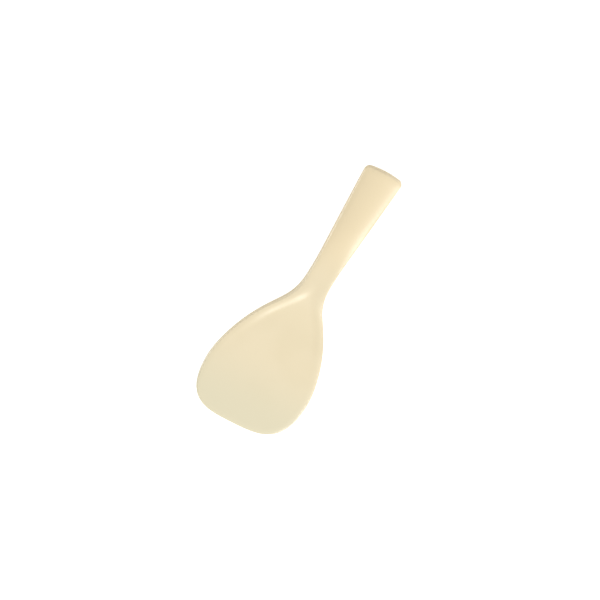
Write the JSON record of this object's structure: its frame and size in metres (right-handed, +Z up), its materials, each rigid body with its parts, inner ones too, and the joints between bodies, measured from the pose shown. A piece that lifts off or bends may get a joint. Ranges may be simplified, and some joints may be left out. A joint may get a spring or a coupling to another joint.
{
  "type": "rice paddle",
  "caption": "Flat moulded rice paddle with an egg-shaped blade, raised shoulders, a narrow neck and a domed, widening handle, for scooping and serving cooked rice.",
  "frame": {"origin": "under the middle of the paddle, on the plane that the blade rests on", "axes": "+Y from the toe towards the handle end, +Z up out of the blade's serving face, +X to the side"},
  "size_m": [0.072, 0.195, 0.0097],
  "materials": {
    "paddle": "satin ivory, very fine moulded grain"
  },
  "bodies": {
    "root": {"paddle": "paddle"}
  },
  "joints": []
}
